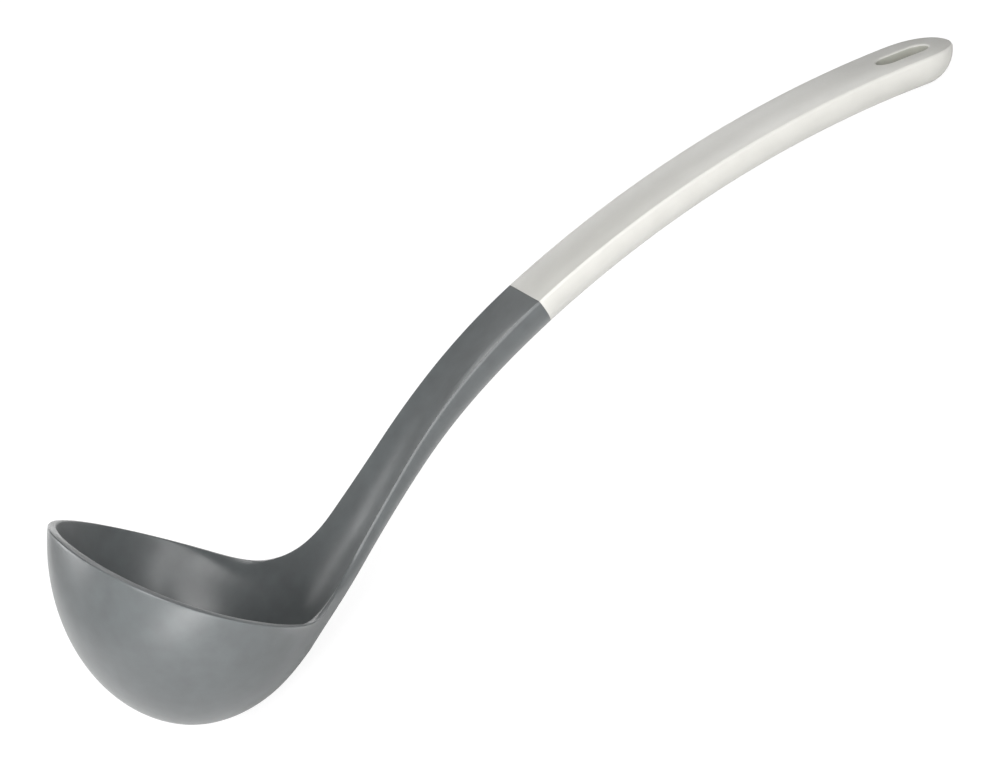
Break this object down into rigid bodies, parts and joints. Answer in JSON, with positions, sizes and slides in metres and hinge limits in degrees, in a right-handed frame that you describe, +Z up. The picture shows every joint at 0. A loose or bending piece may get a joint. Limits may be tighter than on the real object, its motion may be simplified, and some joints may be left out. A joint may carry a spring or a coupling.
{
  "type": "soup ladle",
  "caption": "Soup ladle with a deep round bowl, a channelled neck that sweeps up from the rim, and an arched flat-topped handle with a hang slot near its end.",
  "frame": {"origin": "middle of the box that the ladle fills, at the level of the surface that it lies on", "axes": "+Z up, +X towards the end of the handle, the ladle lying on its belly and the end of its handle, symmetric about the XZ plane"},
  "size_m": [0.3382, 0.0884, 0.0857],
  "materials": {
    "dark_nylon": "satin, moulded glass-filled nylon",
    "light_handle": "fine satin, moulded and painted"
  },
  "bodies": {
    "root": {"ladle_head": "dark_nylon", "handle_grip": "light_handle"}
  },
  "joints": []
}
